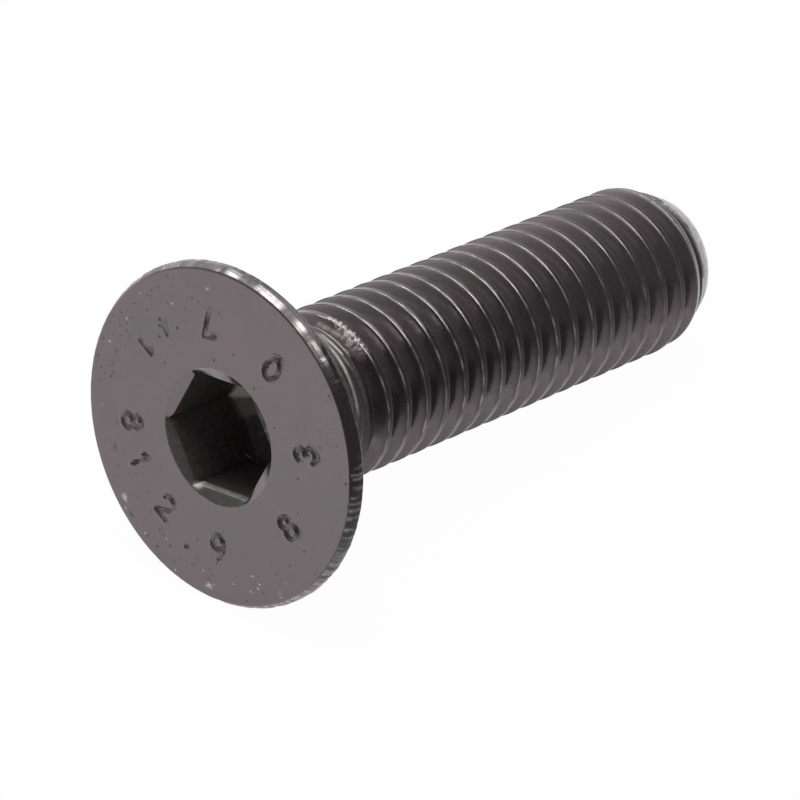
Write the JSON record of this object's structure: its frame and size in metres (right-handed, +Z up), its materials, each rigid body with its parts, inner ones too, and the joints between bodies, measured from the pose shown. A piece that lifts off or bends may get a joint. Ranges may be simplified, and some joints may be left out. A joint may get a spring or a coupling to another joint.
{
  "type": "countersunk socket screw",
  "caption": "Countersunk screw with a flat head, a hexagon socket and a coarse right-hand thread along its whole shank, lying at rest on its rim and thread.",
  "frame": {"origin": "middle of the footprint, on the surface that the screw lies on", "axes": "+X along the screw's length towards its point, +Z up from the surface"},
  "size_m": [0.0308, 0.0154, 0.0153],
  "materials": {
    "black_oxide_steel": "satin black oxide, worn bright along the crests of the thread and the rim of the head"
  },
  "bodies": {
    "root": {"countersunk_screw": "black_oxide_steel"}
  },
  "joints": []
}
